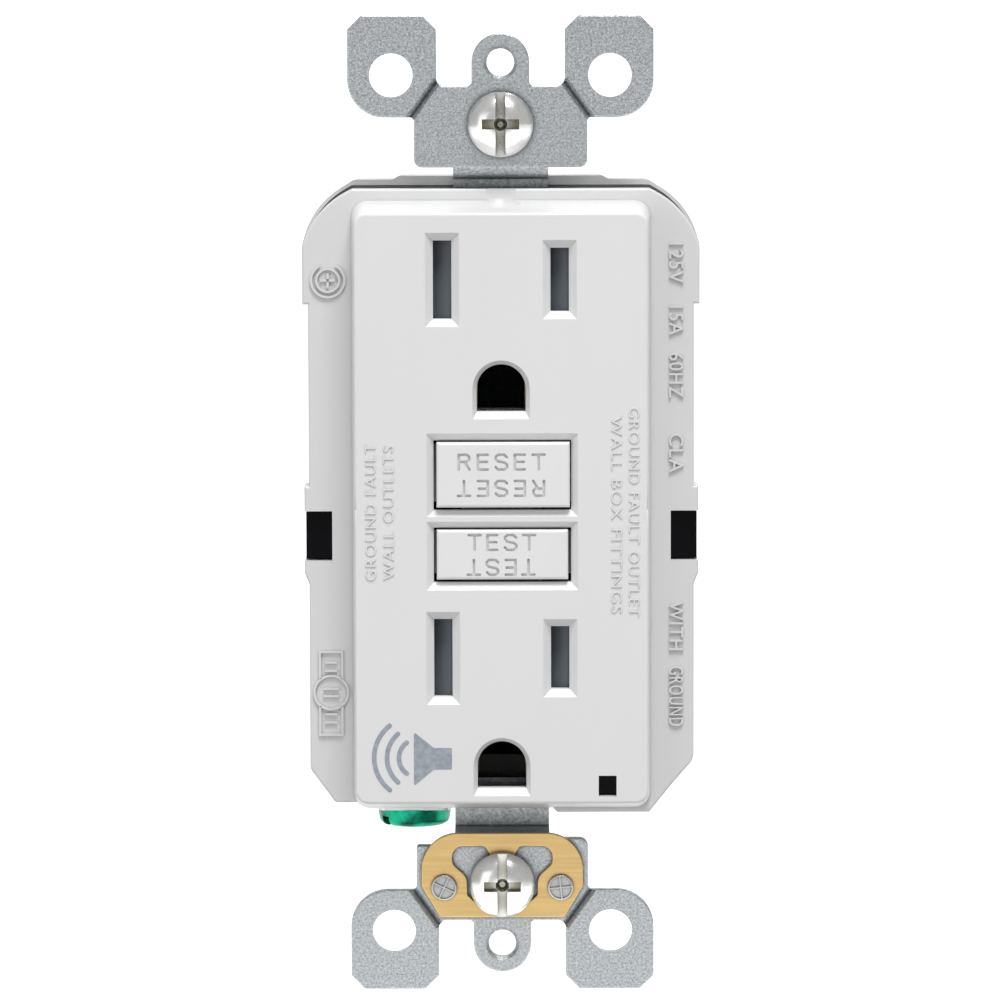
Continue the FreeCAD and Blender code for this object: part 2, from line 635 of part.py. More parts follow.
def terminal_plate(x_sign, z_sign, front_y):
    """The tapped plate that a wire is clamped against."""
    x = sorted((x_sign * TERMINAL_X, x_sign * (TERMINAL_X + 1.2)))
    z = (z_sign * TERMINAL_Z - 4.5, z_sign * TERMINAL_Z + 4.5)
    hole = rod_x(TERMINAL_Y, z_sign * TERMINAL_Z, TERMINAL_THREAD_R + 0.05, (-30, 30))
    return box(x, (front_y, 17.5), z).cut(hole)


def line_terminal(x_sign):
    """A line terminal with the tongue that feeds its contact arm."""
    plate_part = terminal_plate(x_sign, -1, 8.5)
    tongue = box(sorted((x_sign * 8.2, x_sign * 17.3)), (8.5, 9.3), (-17.0, -14.2))
    foot = box(sorted((x_sign * 8.2, x_sign * 9.8)), (8.5, 9.3), (-14.3, -12.4))
    riser = box(sorted((x_sign * 8.2, x_sign * 9.8)), (ARM_Y, 9.3), (-13.1, -12.4))
    return fused([plate_part, tongue, foot, riser])


def line_arm(x_sign):
    """A spring arm with the moving contact at its free end."""
    x = sorted((x_sign * 8.2, x_sign * 9.8))
    strip = box(x, (ARM_Y, ARM_Y + 0.4), (-12.1, 5.5))
    return strip.fuse(rod_y(x_sign * 9.0, 4.0, 0.8, (ARM_Y - 0.65, ARM_Y + 0.1)))


# ---------------------------------------------------------------- housings

def middle_housing():
    """The dark divider that carries the buses, with a snap tab in each side notch."""
    y = (MIDDLE_Y, MIDDLE_Y + MIDDLE_THICK)
    shapes = [box((-14.0, 14.0), y, (-29.0, 33.3)), box((-19.2, 19.2), y, (-11.0, 11.0))]
    for side in (-1, 1):
        x = sorted((side * 18.7, side * 21.45))
        shapes.append(box(x, (0.2, y[1]), (-5.85, -0.7)))
    shell = fused(shapes)
    through = (y[0] - 1, y[1] + 1)
    cuts = [box((-5.2, 5.2), through, (-9.0, 9.0))]
    for z in (UPPER_SLOT_Z, UPPER_SLOT_Z - RECEPTACLE_PITCH):
        for x in (-BLADE_SPACING / 2, BLADE_SPACING / 2):
            cuts.append(box((x - 1.5, x + 1.5), through, (z - 4.6, z + 4.6)))
    for z in (GROUND_Z, GROUND_Z - RECEPTACLE_PITCH):
        cuts.append(box((-3.5, 3.5), through, (z - 3.9, z + 3.9)))
    for side in (-1, 1):
        cuts.append(box(sorted((side * 7.9, side * 10.1)), through, (-13.6, 7.0)))
    cuts.append(box((10.3, 12.6), through, (-31.5, -28.6)))
    return cut(shell, cuts)


def body_outline():
    right = [(15.2, -33.2, 1.0), (18.3, -30.2, 1.0), (21.0, -27.6, 1.5), (21.0, 22.6), (21.9, 23.4),
             (21.9, 28.6, 0.3), (20.6, 32.9, 9.0), (16.3, 35.6, 0.4), (11.9, 35.65, 0.3), (11.3, 36.05, 0.3)]
    return mirrored(right)


def seam():
    """The open seam round the cover's upper corners, between the cover and the body."""
    outline = mirrored([(21.6, 28.6), (20.38, 32.8, 9.5), (16.38, 35.05, 0.3)])
    return plate(outline, (BODY_FRONT_Y - 1, BODY_FRONT_Y + 1.0))


def back_body():
    """The grey back shell, with four terminal pockets and its wire entries."""
    shell = plate(body_outline(), (BODY_FRONT_Y, BODY_BACK_Y))
    rim = chosen_edges(shell, lambda c: abs(c.y - BODY_BACK_Y) < 1e-3)
    shell = shell.makeFillet(1.0, rim)
    inner = (BODY_FRONT_Y - 1, 24.3)
    hollows = [box((-14.2, 14.2), inner, (-29.6, 33.6)), box((-19.3, 19.3), inner, (-11.4, 11.4)),
               box((-4.5, 4.5), (BODY_FRONT_Y - 1, 15.5), (-31.7, -29.0)),
               box((10.3, 12.7), (BODY_FRONT_Y - 1, 19.0), (-31.4, -29.0))]
    for x, z in BOSSES:
        sx = math.copysign(1, x)
        wide = sorted((sx * 15.6, sx * 19.4))
        tall = (24.6, 31.0) if z > 0 else (-28.6, -24.6)
        pocket = box(wide, inner, tall)
        hollows.append(pocket.cut(rod_y(x, z, 2.5, (0, 30))))
    shell = cut(shell, hollows + [seam()])
    return cut(shell, terminal_pockets() + body_openings())


def terminal_pockets():
    """Open-sided pockets for the clamps, each with a bore for the screw's end and two wire entries."""
    cuts = []
    for sx in (-1, 1):
        for sz in (-1, 1):
            z = sz * TERMINAL_Z
            cuts.append(box(sorted((sx * 15.9, sx * 23.0)), (7.6, 20.0), (z - 5.1, z + 5.1)))
            cuts.append(rod_x(TERMINAL_Y, z, 2.5, sorted((sx * 14.0, sx * 16.0))))
            for step in (-3.3, 3.3):
                slot = box(sorted((sx * 16.6, sx * 19.4)), (19.9, 27.0), (z + step - 1.4, z + step + 1.4))
                cuts.append(slot)
        cuts.append(box(sorted((sx * 7.0, sx * 17.6)), (BODY_FRONT_Y - 1, 7.7), (14.3, 21.7)))
        cuts.append(box(sorted((sx * 16.0, sx * 17.6)), (BODY_FRONT_Y - 1, 7.7), (13.3, 22.7)))
        cuts.append(box(sorted((sx * 7.0, sx * 16.0)), (8.3, 9.5), (-17.2, -14.0)))
    return cuts


def body_openings():
    """The snap tab notches, the strap's passages, the ground screw's recess and the rear screw bores."""
    cuts = []
    for side in (-1, 1):
        cuts.append(box(sorted((side * 18.5, side * 22.5)), (BODY_FRONT_Y - 1, MIDDLE_Y + MIDDLE_THICK + 0.2),
                        (-6.0, -0.55)))
    cuts.append(rod_z(GROUND_SCREW_X, GROUND_SCREW_Y, 2.5, (-34, -29)))
    cuts.append(box((-14.6, -5.0), (BODY_FRONT_Y - 1, 20.0), (-34.0, -31.2)))
    for x, z in BOSSES:
        cuts.append(rod_y(x, z, 1.4, (BODY_FRONT_Y - 1, BODY_BACK_Y + 1)))
        cuts.append(rod_y(x, z, 2.3, (23.6, BODY_BACK_Y + 1)))
    return cuts


def assembly_screws():
    screw = pan_screw(2.1, 1.5, 1.25, 21.6, 0.7)
    return Part.makeCompound([aimed(screw, V(x, 23.6, z), V(0, 1, 0)) for x, z in BOSSES])


# ---------------------------------------------------------------- electronics and trip mechanism

def circuit_board():
    board = box((-13.9, 13.9), (BOARD_Y, BOARD_Y + BOARD_THICK), (-29.2, 33.2))
    wings = box((-19.0, 19.0), (BOARD_Y, BOARD_Y + BOARD_THICK), (-11.0, 11.0))
    holes = [rod_y(x, z, 0.5, (BOARD_Y - 1, BOARD_Y + 3)) for x in (-17.5, 17.5) for z in (-9.5, 9.5)]
    return cut(board.fuse(wings), holes)


def core(y):
    """A toroid wound round the line conductors."""
    return rod_y(0, -18.6, 6.0, y).cut(rod_y(0, -18.6, 3.2, (y[0] - 1, y[1] + 1)))


def transformer_case():
    """The cup that holds both cores, open towards the board."""
    y = (12.5, BOARD_Y - 0.1)
    cup = box((-7.2, 7.2), y, (-25.8, -11.6))
    bore = rod_y(0, -18.6, 6.2, (y[0] + 0.5, y[1] + 1)).cut(rod_y(0, -18.6, 3.0, (y[0] - 1, y[1] + 1)))
    return cut(cup, [bore, rod_y(0, -18.6, 2.2, (y[0] - 1, y[1] + 1))])


SOLENOID_Y = 16.0


def solenoid_bobbin():
    tube = rod_x(SOLENOID_Y, POST_Z, 2.5, (6.5, 18.3))
    flanges = [rod_x(SOLENOID_Y, POST_Z, 4.2, x) for x in ((6.5, 7.3), (17.5, 18.3))]
    bore = rod_x(SOLENOID_Y, POST_Z, 1.98, (6.0, 19.0))
    return tube.multiFuse(flanges).cut(bore)


def solenoid_coil():
    return rod_x(SOLENOID_Y, POST_Z, 3.9, (7.3, 17.5)).cut(rod_x(SOLENOID_Y, POST_Z, 2.5, (7.0, 18.0)))


def solenoid_frame():
    """A steel yoke round the coil's ends."""
    y = (11.7, 20.4)
    z = (POST_Z - 4.3, POST_Z + 5.2)
    ends = [box((5.7, 6.5), y, z), box((18.3, 19.1), y, z)]
    back = box((5.7, 19.1), y, (z[1] - 0.8, z[1]))
    bore = rod_x(SOLENOID_Y, POST_Z, 2.1, (5.0, 7.0))
    return fused(ends + [back]).cut(bore)


def solenoid_plunger():
    return rod_x(SOLENOID_Y, POST_Z, 1.9, (5.45, 16.5))


def latch_plate():
    """The sliding plate whose slot catches the groove in the reset post."""
    body = box((-6.2, 5.3), (LATCH_Y, LATCH_Y + 0.8), (POST_Z - 2.2, POST_Z + 2.2))
    slot = box((-1.45, 2.7), (LATCH_Y - 1, LATCH_Y + 2), (POST_Z - 1.4, POST_Z + 1.4))
    return body.cut(slot)


def latch_spring():
    spring = coil_spring(1.0, 0.18, 2.9, 4)
    return aimed(spring, V(-9.1, LATCH_Y + 0.4, POST_Z), V(1, 0, 0))


def lifter():
    """The carrier that moves both contact arms and holds the latch plate."""
    block = box((-4.5, 4.1), (LIFTER_Y, 17.8), (0.4, 7.3))
    bar = box((-10.0, 10.0), (LIFTER_Y, 9.4), (2.0, 6.0))
    pads = [box(sorted((side * 8.4, side * 9.6)), (ARM_Y + 0.5, LIFTER_Y + 0.1), (3.0, 5.0))
            for side in (-1, 1)]
    seat_arm = box((-9.9, -4.0), (13.5, 14.6), (2.4, 5.3))
    seat = box((-9.9, -9.1), (13.5, 17.4), (2.4, 5.3))
    solid = fused([block, bar, seat_arm, seat] + pads)
    slot = box((-5.0, 5.0), (LATCH_Y - 0.15, LATCH_Y + 0.95), (POST_Z - 2.35, POST_Z + 2.35))
    return cut(solid, [slot, rod_y(0, POST_Z, 1.45, (5, 20))])


def test_contact():
    """The leaf that the test button's leg presses."""
    return box((-1.4, 1.4), (11.9, 12.3), (-10.9, -4.0))


def test_contact_post():
    return box((-1.4, 1.4), (11.9, BOARD_Y), (-11.5, -11.1))


def filter_capacitor():
    can = rod_y(-9.0, 14.6, 3.6, (13.2, BOARD_Y))
    top = chosen_edges(can, lambda c: c.y < 13.3)
    return can.makeFillet(0.5, top)


def surge_varistor():
    disc = rod_z(-8.6, 17.0, 4.0, (22.5, 26.0))
    edges = [edge for edge in disc.Edges if edge.Length > 10]
    return disc.makeFillet(0.9, edges)


def control_chip():
    body = box((-2.6, 2.6), (BOARD_Y - 1.6, BOARD_Y - 0.2), (-3.0, 3.0))
    legs = [box(sorted((side * 2.5, side * 3.6)), (BOARD_Y - 0.5, BOARD_Y), (z - 0.2, z + 0.2))
            for side in (-1, 1) for z in (-1.9, -0.6, 0.7, 2.0)]
    return moved(fused([body] + legs), x=-1.2, z=24.0)


def board_resistors():
    """A row of axial resistors lying on the board."""
    bodies = []
    y = BOARD_Y - 1.3
    z = 29.6
    for x in (-9.0, -3.0, 3.0, 9.0):
        body = rod_x(y, z, 1.0, (x - 1.9, x + 1.9))
        leads = [box((x - 2.6, x + 2.6), (y - 0.25, y + 0.25), (z - 0.25, z + 0.25))]
        leads += [box((x + end - 0.25, x + end + 0.25), (y, BOARD_Y), (z - 0.25, z + 0.25))
                  for end in (-2.35, 2.35)]
        bodies.append(fused([body] + leads))
    return Part.makeCompound(bodies)


def alarm_buzzer():
    """The sounder behind the speaker mark's function."""
    can = rod_y(8.4, 22.3, 5.0, (14.0, BOARD_Y))
    top = chosen_edges(can, lambda c: c.y < 14.1)
    can = can.makeFillet(0.6, top)
    return can.cut(rod_y(8.4, 22.3, 0.9, (13.0, 15.0)))


def light_pipe():
    """A clear bar from the lamp to its window in the face."""
    return box((10.6, 12.35), (FACE_Y + 1.3, 18.2), (-31.1, -29.7)).fuse(
        box((10.6, 12.35), (FACE_Y + 1.3, FACE_Y + FACE_WALL + 0.6), (-31.1, -29.05)))


def indicator_lamp():
    dome = rod_y(11.5, -27.6, 1.3, (18.6, BOARD_Y))
    top = chosen_edges(dome, lambda c: c.y < 18.7)
    return dome.makeFillet(0.9, top)


# ---------------------------------------------------------------- terminal hardware

def terminal_clamp(x_sign, z_sign):
    """The square clamp plate under a terminal screw, with a rib that bites the wire."""
    inner = TERMINAL_X + 1.2 + CLAMP_GAP
    y = (TERMINAL_Y - 4.4, TERMINAL_Y + 4.4)
    z = (z_sign * TERMINAL_Z - 4.4, z_sign * TERMINAL_Z + 4.4)
    body = box(sorted((x_sign * inner, x_sign * (inner + CLAMP_THICK))), y, z)
    edges = [edge for edge in body.Edges if abs(edge.Length - CLAMP_THICK) < 1e-6]
    body = body.makeFillet(0.8, edges)
    hole = rod_x(TERMINAL_Y, z_sign * TERMINAL_Z, TERMINAL_THREAD_R + 0.05, (-30, 30))
    return body.cut(hole)


def terminal_screw():
    return pan_screw(4.0, 2.2, TERMINAL_THREAD_R, 6.0, 1.2)


def side_screw(x_sign, z_sign):
    seat = TERMINAL_X + 1.2 + CLAMP_GAP + CLAMP_THICK
    origin = V(x_sign * seat, TERMINAL_Y, z_sign * TERMINAL_Z)
    return aimed(terminal_screw(), origin, V(x_sign, 0, 0))


def ground_clamp():
    top = GROUND_TAB_Z - STRAP_THICK - CLAMP_GAP
    x = (GROUND_SCREW_X - 4.0, GROUND_SCREW_X + 4.0)
    y = (GROUND_SCREW_Y - 4.0, GROUND_SCREW_Y + 4.0)
    body = box(x, y, (top - CLAMP_THICK, top))
    edges = [edge for edge in body.Edges if abs(edge.Length - CLAMP_THICK) < 1e-6]
    body = body.makeFillet(0.8, edges)
    return body.cut(rod_z(GROUND_SCREW_X, GROUND_SCREW_Y, TERMINAL_THREAD_R + 0.05, (-40, -20)))


def ground_screw():
    seat = GROUND_TAB_Z - STRAP_THICK - CLAMP_GAP - CLAMP_THICK
    head = Part.makeCone(4.15, 3.85, 2.0)
    head = head.makeFillet(0.9, head.Edges[:1])
    head = cut(head, drive_recess(4.15, 2.0, 1.2, 1.1))
    screw = head.fuse(threaded_shaft(TERMINAL_THREAD_R, 5.0, THREAD_PITCH, 0.4))
    return aimed(screw, V(GROUND_SCREW_X, GROUND_SCREW_Y, seat), V(0, 0, -1), GROUND_SCREW_ROLL)


def mounting_screw(z, seat_y):
    screw = pan_screw(3.55, 2.3, 1.72, 26.0, 1.09, shank=SHANK_END_Y - seat_y)
    return aimed(screw, V(0, seat_y, z), V(0, -1, 0))


def retaining_washer(z):
    """A square fibre washer that keeps a box screw on the strap."""
    y = (3.2, 3.9)
    body = box((-4.0, 4.0), y, (z - 4.0, z + 4.0))
    edges = [edge for edge in body.Edges if abs(edge.Length - 0.7) < 1e-6]
    return body.makeChamfer(1.8, edges).cut(rod_y(0, z, 1.72 - SHANK_RELIEF + 0.05, (0, 6)))


# ---------------------------------------------------------------- all nodes

def nodes():
    lower_slot = UPPER_SLOT_Z - RECEPTACLE_PITCH
    lower_ground = GROUND_Z - RECEPTACLE_PITCH
    box_screw_z = BOX_SCREW_SPACING / 2
    made = {
        "front_cover": front_cover(),
        "reset_button": reset_button(),
        "test_button": test_button(),
        "reset_spring": button_spring(POST_Z, 2.3),
        "test_spring": button_spring(TEST_LEG_Z, 2.0),
        "upper_shutter": shutter(UPPER_SLOT_Z),
        "lower_shutter": shutter(lower_slot),
        "upper_shutter_tray": shutter_tray(UPPER_SLOT_Z),
        "lower_shutter_tray": shutter_tray(lower_slot),
        "upper_shutter_spring": shutter_spring(UPPER_SLOT_Z),
        "lower_shutter_spring": shutter_spring(lower_slot),
        "mounting_strap": mounting_strap(),
        "upper_ground_contact": ground_contact(GROUND_Z),
        "lower_ground_contact": ground_contact(lower_ground),
        "grounding_clip": grounding_clip(),
        "clip_rivets": clip_rivets(),
        "hot_bus": bus(1),
        "neutral_bus": bus(-1),
        "line_hot_terminal": line_terminal(1),
        "line_neutral_terminal": line_terminal(-1),
        "line_hot_arm": line_arm(1),
        "line_neutral_arm": line_arm(-1),
        "middle_housing": middle_housing(),
        "back_body": back_body(),
        "assembly_screws": assembly_screws(),
        "circuit_board": circuit_board(),
        "sense_core": core((13.2, 16.6)),
        "neutral_core": core((17.0, 20.4)),
        "transformer_case": transformer_case(),
        "solenoid_bobbin": solenoid_bobbin(),
        "solenoid_coil": solenoid_coil(),
        "solenoid_frame": solenoid_frame(),
        "solenoid_plunger": solenoid_plunger(),
        "latch_plate": latch_plate(),
        "latch_spring": latch_spring(),
        "lifter": lifter(),
        "test_contact": test_contact(),
        "test_contact_post": test_contact_post(),
        "filter_capacitor": filter_capacitor(),
        "surge_varistor": surge_varistor(),
        "control_chip": control_chip(),
        "board_resistors": board_resistors(),
        "alarm_buzzer": alarm_buzzer(),
        "light_pipe": light_pipe(),
        "indicator_lamp": indicator_lamp(),
        "ground_clamp": ground_clamp(),
        "ground_screw": ground_screw(),
        "upper_mounting_screw": mounting_screw(box_screw_z, -STRAP_THICK),
        "lower_mounting_screw": mounting_screw(-box_screw_z, -STRAP_THICK - CLIP_THICK),
        "upper_screw_washer": retaining_washer(box_screw_z),
        "lower_screw_washer": retaining_washer(-box_screw_z),
    }
    for side, x_sign in (("hot", 1), ("neutral", -1)):
        for end, z_sign in (("load", 1), ("line", -1)):
            made[end + "_" + side + "_clamp"] = terminal_clamp(x_sign, z_sign)
            made[end + "_" + side + "_screw"] = side_screw(x_sign, z_sign)
    return made


os.makedirs("parts", exist_ok=True)
for name, shape in nodes().items():
    shape.exportStep("parts/" + name + ".step")
    state = "ok" if shape.isValid() else "INVALID"
    print(f"{name:24s} {shape.Volume:10.2f} mm3 {len(shape.Solids)} solids {state}")
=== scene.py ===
"""A ground-fault wall outlet, seen square on against a white background."""
import json
import math

import bmesh
import bpy
from mathutils import Matrix, Vector


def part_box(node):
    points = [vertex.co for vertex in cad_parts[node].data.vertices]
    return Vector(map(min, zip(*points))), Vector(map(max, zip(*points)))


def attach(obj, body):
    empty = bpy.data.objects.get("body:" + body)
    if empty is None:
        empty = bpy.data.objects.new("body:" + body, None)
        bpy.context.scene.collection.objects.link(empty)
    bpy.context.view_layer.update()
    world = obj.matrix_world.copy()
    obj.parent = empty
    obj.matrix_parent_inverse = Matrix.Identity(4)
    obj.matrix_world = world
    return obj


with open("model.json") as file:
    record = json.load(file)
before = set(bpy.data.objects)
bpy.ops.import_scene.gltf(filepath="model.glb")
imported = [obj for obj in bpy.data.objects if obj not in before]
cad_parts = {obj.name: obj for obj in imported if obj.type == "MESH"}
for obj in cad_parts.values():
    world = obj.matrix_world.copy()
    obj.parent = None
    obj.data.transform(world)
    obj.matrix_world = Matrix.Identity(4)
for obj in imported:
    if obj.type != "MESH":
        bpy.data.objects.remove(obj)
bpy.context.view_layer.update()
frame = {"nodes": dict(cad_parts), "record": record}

MM = 0.001

FACE_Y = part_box("front_cover")[0].y
SHOULDER_Y = -1.0 * MM

# Marks on the cover, in millimetres.
RING_CENTRE = (-18.9, 24.75)
SEAL_CENTRE = (-18.75, -20.5)
SEAL_FRAME_X = (-20.1, -17.4)
RAISED_LINE = 0.25
RAISED_HEIGHT = 0.3 * MM
HORN_Z = -26.95
INK_THICKNESS = 0.03 * MM
RATING_X = 19.05
RATING_HEIGHT = 1.62
NOTE_HEIGHT = 1.22

# Lettering: the font's size for each unit of capital height, its spacing and its edge.
FONT_SCALE = 1.38
LETTER_SPACING = 1.12
LETTER_BEVEL = 0.02 * MM

# Moulded plastic: how deep its grain and its waviness go, and how narrow a gap must be to be painted
# darker as shade.
GRAIN_DEPTH = 0.03 * MM
WAVE_DEPTH = 0.1 * MM
SHADE_GAP = 0.4 * MM

# The view.
CAMERA_LENS = 170.945
CAMERA_DISTANCE = 0.52
CAMERA_ELEVATION = math.radians(4.5)
CAMERA_TARGET = Vector((-0.154, -1.2, 0.669)) * MM
CAMERA_ROLL = -0.0025


# ---------------------------------------------------------------- shader helpers

class Shader:
    """A node material with short ways to add the nodes that the finishes share."""

    def __init__(self, name, colour, roughness, metallic=0.0):
        self.material = bpy.data.materials.new(name)
        self.material.use_nodes = True
        self.tree = self.material.node_tree
        self.surface = self.tree.nodes["Principled BSDF"]
        self.set("Base Color", (*colour, 1))
        self.set("Roughness", roughness)
        self.set("Metallic", metallic)
        self.place = self.add("ShaderNodeTexCoord").outputs["Object"]
        self.last_bump = None

    def add(self, kind):
        return self.tree.nodes.new(kind)

    def join(self, source, target):
        self.tree.links.new(source, target)

    def set(self, socket, value):
        self.surface.inputs[socket].default_value = value

    def stretched(self, scale):
        """The object's coordinates, stretched along each axis."""
        mapping = self.add("ShaderNodeMapping")
        mapping.inputs["Scale"].default_value = scale
        self.join(self.place, mapping.inputs["Vector"])
        return mapping.outputs["Vector"]

    def noise(self, scale, detail=3.0, stretch=None):
        node = self.add("ShaderNodeTexNoise")
        node.inputs["Scale"].default_value = scale
        node.inputs["Detail"].default_value = detail
        self.join(self.stretched(stretch) if stretch else self.place, node.inputs["Vector"])
        return node.outputs["Fac"]

    def cell_edges(self, scale):
        """The distance to the nearest border between irregular cells."""
        node = self.add("ShaderNodeTexVoronoi")
        node.feature = "DISTANCE_TO_EDGE"
        node.inputs["Scale"].default_value = scale
        self.join(self.place, node.inputs["Vector"])
        return node.outputs["Distance"]

    def ramp(self, source, stops):
        """A colour ramp from (position, colour) stops."""
        node = self.add("ShaderNodeValToRGB")
        elements = node.color_ramp.elements
        while len(elements) < len(stops):
            elements.new(0.5)
        for element, (position, colour) in zip(elements, stops):
            element.position = position
            element.color = (*colour, 1)
        self.join(source, node.inputs["Fac"])
        return node.outputs["Color"]

    def spread(self, source, low, high, start=0.0, stop=1.0):
        """Maps a value from start..stop to low..high."""
        node = self.add("ShaderNodeMapRange")
        node.inputs["From Min"].default_value = start
        node.inputs["From Max"].default_value = stop
        node.inputs["To Min"].default_value = low
        node.inputs["To Max"].default_value = high
        self.join(source, node.inputs["Value"])
        return node.outputs["Result"]

    def shaded_in_recesses(self, colour, recess_shade, reach):
        """A colour painted darker, as shade, in recesses narrower than a reach."""
        hidden = self.add("ShaderNodeAmbientOcclusion")
        hidden.samples = 8
        hidden.inputs["Distance"].default_value = reach
        # Painted shade: the more occluded a point, the nearer its colour comes to the shade colour.
        mix = self.add("ShaderNodeMix")
        mix.data_type = "RGBA"
        self.join(self.spread(hidden.outputs["AO"], 1.0, 0.0, 0.35, 0.85), mix.inputs["Factor"])
        self.join(colour, mix.inputs["A"])
        mix.inputs["B"].default_value = (*recess_shade, 1)
        return mix.outputs["Result"]

    def bump(self, height, strength, distance):
        node = self.add("ShaderNodeBump")
        node.inputs["Strength"].default_value = strength
        node.inputs["Distance"].default_value = distance
        self.join(height, node.inputs["Height"])
        if self.last_bump:
            self.join(self.last_bump, node.inputs["Normal"])
        self.last_bump = node.outputs["Normal"]
        self.join(self.last_bump, self.surface.inputs["Normal"])

    def tint(self, source):
        self.join(source, self.surface.inputs["Base Color"])

    def gloss(self, source):
        self.join(source, self.surface.inputs["Roughness"])


def shade(colour, factor):
    return tuple(min(1.0, c * factor) for c in colour)


# ---------------------------------------------------------------- finishes

def flow_marks(shader):
    """The slow drift in tone that a mould leaves."""
    return shader.noise(70, 4.0, (1.0, 1.0, 0.35))


def moulded_surface(shader, roughness, grain):
    """A mould's uneven gloss, fine grain and faint waviness."""
    shader.gloss(shader.spread(shader.noise(420, 3.0), roughness - 0.05, roughness + 0.06))
    shader.bump(shader.noise(5200, 2.0), grain, GRAIN_DEPTH)
    shader.bump(shader.noise(260, 2.0), 0.05, WAVE_DEPTH)


def moulded_plastic(name, colour, roughness, grain=0.12, specular=0.5):
    """Injection-moulded plastic: faint flow marks, a fine surface grain, uneven gloss and painted shade in
    narrow recesses.
    """
    shader = Shader(name, colour, roughness)
    shader.set("Specular IOR Level", specular)
    tones = shader.ramp(flow_marks(shader), [(0.3, shade(colour, 0.975)), (0.7, shade(colour, 1.02))])
    # Painted shade: the colour darkens to three quarters in recesses narrower than the gap, such as the
    # letters cut in the buttons.
    shader.tint(shader.shaded_in_recesses(tones, shade(colour, 0.76), SHADE_GAP))
    moulded_surface(shader, roughness, grain)
    return shader.material


def cover_plastic():
    """The cover's plastic, with painted shade that makes its recessed shoulder a little darker than its
    face.
    """
    colour = (0.78, 0.78, 0.785)
    roughness = 0.38
    shader = Shader("cover_plastic", colour, roughness)
    axes = shader.add("ShaderNodeSeparateXYZ")
    shader.join(shader.place, axes.inputs["Vector"])
    # Painted shade: the colour darkens by a tenth going back from partway down the face's sides to the
    # shoulder.
    shoulder_shade = shader.spread(axes.outputs["Y"], 0.0, 1.0, FACE_Y * 0.45, SHOULDER_Y)
    tones = shader.ramp(shoulder_shade, [(0.0, colour), (1.0, shade(colour, 0.9))])
    flow = shader.ramp(flow_marks(shader), [(0.3, (0.975,) * 3), (0.7, (1, 1, 1))])
    blend = shader.add("ShaderNodeMix")
    blend.data_type = "RGBA"
    blend.blend_type = "MULTIPLY"
    blend.inputs["Factor"].default_value = 1.0
    shader.join(tones, blend.inputs["A"])
    shader.join(flow, blend.inputs["B"])
    # Painted shade: the colour darkens to about half in recesses narrower than the gap, around letters and
    # marks.
    shader.tint(shader.shaded_in_recesses(blend.outputs["Result"], (0.5, 0.5, 0.51), SHADE_GAP))
    moulded_surface(shader, roughness, 0.12)
    return shader.material


def galvanized_steel():
    """Zinc-plated sheet: mottled grey, fine pits, rolling lines and painted shade in its grooves."""
    colour = (0.40, 0.42, 0.43)
    shader = Shader("galvanized_steel", colour, 0.42, 1.0)
    mottle = shader.noise(4200, 2.0)
    tones = shader.ramp(mottle, [(0.26, shade(colour, 0.62)), (0.5, colour), (0.72, shade(colour, 1.3))])
    # Painted shade: near-black in the grooves between the parts and around the screw heads.
    shader.tint(shader.shaded_in_recesses(tones, (0.07, 0.08, 0.09), 0.0009))
    shader.gloss(shader.spread(shader.noise(2600, 4.0), 0.3, 0.56, 0.3, 0.7))
    shader.bump(shader.noise(4200, 4.0), 0.55, 0.00006)
    shader.bump(shader.noise(700, 2.0, (0.12, 1.0, 4.0)), 0.12, 0.00006)
    return shader.material


def bright_zinc(name, colour, roughness):
    """Plating on a screw: a faint cloudy stain, uneven gloss, fine nicks and painted shade in the recess.
    """
    shader = Shader(name, colour, roughness, 1.0)
    cloud = shader.ramp(shader.noise(500, 3.0), [(0.3, shade(colour, 0.86)), (0.7, shade(colour, 1.06))])
    # Painted shade: a dark brownish colour in the drive recess and other narrow hollows.
    shader.tint(shader.shaded_in_recesses(cloud, (0.19, 0.18, 0.12), 0.0016))
    shader.gloss(shader.spread(shader.noise(1900, 3.0), roughness - 0.06, roughness + 0.1))
    shader.bump(shader.noise(2600, 2.0), 0.08, 0.00004)
    return shader.material


def brushed_brass(name, direction, roughness):
    """Brass sheet with fine brushing along one direction and painted shade in its corners."""
    colour = (0.60, 0.42, 0.18)
    shader = Shader(name, colour, roughness, 1.0)
    lines = shader.noise(500, 5.0, direction)
    tones = shader.ramp(lines, [(0.3, shade(colour, 0.9)), (0.72, shade(colour, 1.08))])
    # Painted shade: the colour darkens to about a third in corners narrower than half a millimetre.
    shader.tint(shader.shaded_in_recesses(tones, shade(colour, 0.35), 0.0005))
    shader.gloss(shader.spread(shader.noise(800, 3.0, direction), roughness - 0.08, roughness + 0.12))
    shader.bump(lines, 0.22, 0.00004)
    return shader.material


def green_plating():
    """The ground screw's green plating: blotchy, with uneven gloss."""
    colour = (0.003, 0.22, 0.125)
    shader = Shader("green_plating", colour, 0.26, 0.85)
    blotches = shader.noise(650, 4.0)
    shader.tint(shader.ramp(blotches, [(0.34, shade(colour, 0.35)), (0.62, shade(colour, 1.6))]))
    shader.gloss(shader.spread(shader.noise(1500, 3.0), 0.2, 0.4))
    shader.bump(shader.noise(1800, 3.0), 0.15, 0.00006)
    return shader.material


def drawn_steel(name, colour, roughness):
    """Plain steel wire and pressings: fine draw lines."""
    shader = Shader(name, colour, roughness, 1.0)
    lines = shader.noise(600, 4.0, (1.0, 6.0, 1.0))
    shader.tint(shader.ramp(lines, [(0.3, shade(colour, 0.85)), (0.7, shade(colour, 1.1))]))
    shader.gloss(shader.spread(lines, roughness - 0.08, roughness + 0.08))
    shader.bump(lines, 0.1, 0.00004)
    return shader.material


